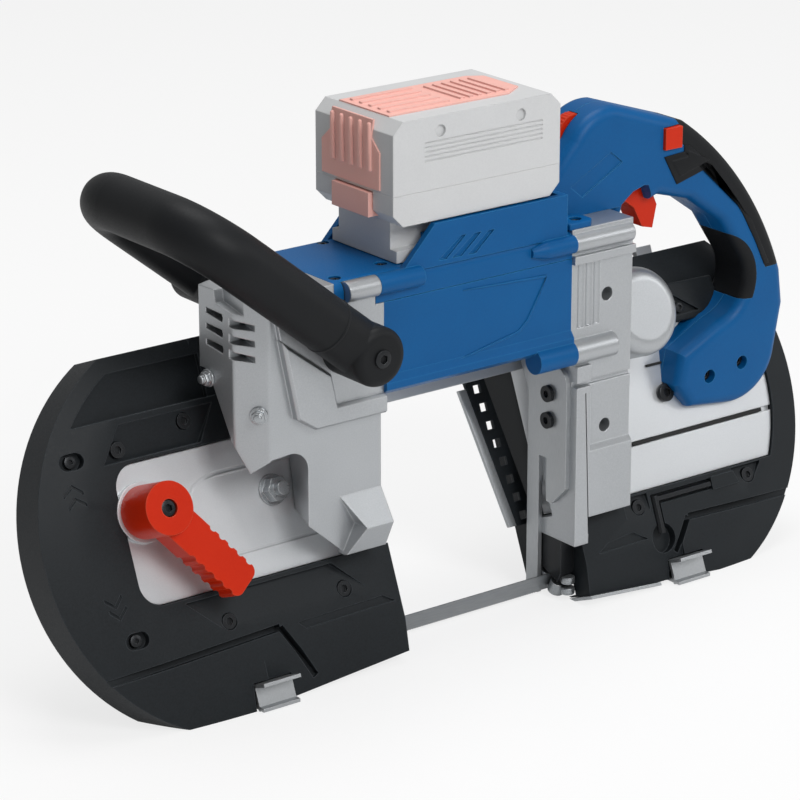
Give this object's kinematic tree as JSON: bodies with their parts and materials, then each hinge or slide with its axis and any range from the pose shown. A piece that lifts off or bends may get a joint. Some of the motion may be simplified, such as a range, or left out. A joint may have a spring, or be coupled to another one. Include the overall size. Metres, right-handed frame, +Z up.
{
  "type": "portable band saw",
  "caption": "Cordless portable band saw: leaning wheel deck with twisted band blade across an open throat, motor body, battery pack, D-handle with trigger and front bail handle.",
  "frame": {"origin": "on the ground under the middle of the bounding box", "axes": "+X along the saw towards the drive wheel and D-handle, -Y towards the motor side of the leaning deck, +Z up"},
  "size_m": [0.548, 0.152, 0.318],
  "materials": {
    "blue_plastic": "fine moulded texture",
    "black_plastic": "moulded, satin",
    "black_grip": "soft overmould",
    "cast_aluminium": "die cast, shot blasted",
    "red_plastic": "satin",
    "pale_plastic": "satin",
    "salmon_plastic": "satin",
    "blade_steel": "rolled strip",
    "zinc_steel": "zinc plated",
    "dark_steel": "black oxide",
    "tyre_rubber": "ground",
    "magnet_iron": "laminated sheet",
    "cell_sleeve": "shrink sleeve"
  },
  "bodies": {
    "frame": {"deck_frame": "cast_aluminium", "front_bumper": "black_plastic", "rear_bumper": "black_plastic", "latch_pins": "zinc_steel", "hinge_pins": "zinc_steel", "drive_bearings": "zinc_steel", "small_bearings": "zinc_steel", "blade": "blade_steel", "front_guide": "dark_steel", "rear_guide": "dark_steel", "lower_guide_plate": "zinc_steel", "tension_spring": "zinc_steel", "clamp_stud": "zinc_steel", "front_bracket": "cast_aluminium", "rear_bracket": "cast_aluminium", "gearbox_cover": "cast_aluminium", "motor_housing": "blue_plastic", "stator": "magnet_iron", "top_cover": "blue_plastic", "battery_terminals": "black_plastic", "handle_near_shell": "blue_plastic", "handle_far_shell": "blue_plastic", "grip_overmould": "black_grip", "switch_block": "black_plastic", "bail_handle": "black_grip", "work_stop": "zinc_steel", "throat_guard": "black_plastic", "blade_channel_cover": "black_plastic", "screws": "dark_steel"},
    "front_cover": {"front_wheel_cover": "black_plastic"},
    "rear_cover": {"rear_wheel_cover": "black_plastic"},
    "front_latch_body": {"front_latch": "zinc_steel"},
    "rear_latch_body": {"rear_latch": "zinc_steel"},
    "slide": {"tension_slide": "zinc_steel"},
    "idler": {"idler_wheel": "cast_aluminium", "idler_tyre": "tyre_rubber", "idler_bearings": "zinc_steel"},
    "lever": {"tension_lever": "red_plastic", "lever_cam": "zinc_steel"},
    "drive": {"drive_wheel": "cast_aluminium", "drive_tyre": "tyre_rubber", "drive_shaft": "zinc_steel", "drive_gear": "dark_steel"},
    "cross": {"cross_shaft": "dark_steel", "bevel_gear": "dark_steel"},
    "lay": {"layshaft": "dark_steel", "layshaft_gear": "dark_steel"},
    "rotor_body": {"rotor": "dark_steel", "cooling_fan": "black_plastic"},
    "roller_near": {"guide_roller_near": "zinc_steel"},
    "roller_far": {"guide_roller_far": "zinc_steel"},
    "battery": {"battery_housing": "pale_plastic", "battery_lid": "pale_plastic", "battery_cells": "cell_sleeve"},
    "battery_release": {"battery_button": "salmon_plastic"},
    "trigger_body": {"trigger": "red_plastic"},
    "lock": {"lock_button": "red_plastic"},
    "dial": {"speed_dial": "red_plastic"},
    "key": {"hex_key": "dark_steel"}
  },
  "joints": [
    {"name": "front_cover_hinge", "type": "hinge", "parent": "frame", "child": "front_cover", "pos_m": [-0.155, 0.05632, 0.17398], "axis": [1, 0, 0], "range_deg": [0, 100]},
    {"name": "rear_cover_hinge", "type": "hinge", "parent": "frame", "child": "rear_cover", "pos_m": [0.155, 0.05632, 0.17398], "axis": [1, 0, 0], "range_deg": [0, 100]},
    {"name": "front_latch_hinge", "type": "hinge", "parent": "frame", "child": "front_latch_body", "pos_m": [-0.152, -0.02795, 0.0036], "axis": [1, 0, 0], "range_deg": [0, 50]},
    {"name": "rear_latch_hinge", "type": "hinge", "parent": "frame", "child": "rear_latch_body", "pos_m": [0.156, -0.02795, 0.0036], "axis": [1, 0, 0], "range_deg": [0, 50]},
    {"name": "lever_turn", "type": "hinge", "parent": "frame", "child": "lever", "pos_m": [-0.2085, -0.00832, 0.11543], "axis": [0, -0.9272, 0.3746], "range_deg": [-120, 0]},
    {"name": "tension_travel", "type": "slide", "parent": "frame", "child": "slide", "axis": [1, 0, 0], "range_m": [0, 0.008]},
    {"name": "idler_spin", "type": "hinge", "parent": "slide", "child": "idler", "pos_m": [-0.164, 0.01013, 0.08102], "axis": [0, -0.9272, 0.3746], "continuous": true},
    {"name": "drive_spin", "type": "hinge", "parent": "frame", "child": "drive", "pos_m": [0.164, 0.01013, 0.08102], "axis": [0, -0.9272, 0.3746], "continuous": true},
    {"name": "cross_spin", "type": "hinge", "parent": "frame", "child": "cross", "pos_m": [0.13629, 0.00782, 0.15538], "axis": [0, -0.9272, 0.3746], "continuous": true},
    {"name": "lay_spin", "type": "hinge", "parent": "frame", "child": "lay", "pos_m": [0.09, -0.01432, 0.16432], "axis": [1, 0, 0], "continuous": true},
    {"name": "rotor_spin", "type": "hinge", "parent": "frame", "child": "rotor_body", "pos_m": [0, -0.00495, 0.1875], "axis": [1, 0, 0], "continuous": true},
    {"name": "roller_near_spin", "type": "hinge", "parent": "frame", "child": "roller_near", "pos_m": [0.0746, -0.024, 0.00711], "axis": [0, -0.3907, 0.9205], "continuous": true},
    {"name": "roller_far_spin", "type": "hinge", "parent": "frame", "child": "roller_far", "pos_m": [0.0746, -0.01369, 0.01149], "axis": [0, -0.3907, 0.9205], "continuous": true},
    {"name": "battery_slide", "type": "slide", "parent": "frame", "child": "battery", "axis": [-1, 0, 0], "range_m": [0, 0.06]},
    {"name": "battery_button_press", "type": "slide", "parent": "battery", "child": "battery_release", "axis": [1, 0, 0], "range_m": [0, 0.003], "stiffness_N_per_m": 600},
    {"name": "trigger_pull", "type": "slide", "parent": "frame", "child": "trigger_body", "axis": [1, 0, 0], "range_m": [0, 0.007], "stiffness_N_per_m": 900},
    {"name": "lock_push", "type": "slide", "parent": "frame", "child": "lock", "axis": [0, 1, 0], "range_m": [0, 0.003], "stiffness_N_per_m": 500},
    {"name": "dial_turn", "type": "hinge", "parent": "frame", "child": "dial", "pos_m": [0.095, -0.00495, 0.281], "axis": [0, 1, 0], "range_deg": [0, 300]},
    {"name": "key_lift", "type": "slide", "parent": "frame", "child": "key", "axis": [0, -0.9272, 0.3746], "range_m": [0, 0.015]}
  ],
  "couplings": [
    {"joint": "tension_travel", "follows": "lever_turn", "m_per_rad": -0.0038},
    {"joint": "idler_spin", "follows": "drive_spin", "ratio": 1},
    {"joint": "cross_spin", "follows": "drive_spin", "ratio": -5},
    {"joint": "lay_spin", "follows": "drive_spin", "ratio": 12.5},
    {"joint": "rotor_spin", "follows": "drive_spin", "ratio": -50},
    {"joint": "roller_near_spin", "follows": "drive_spin", "ratio": -15.4},
    {"joint": "roller_far_spin", "follows": "drive_spin", "ratio": 15.4}
  ]
}
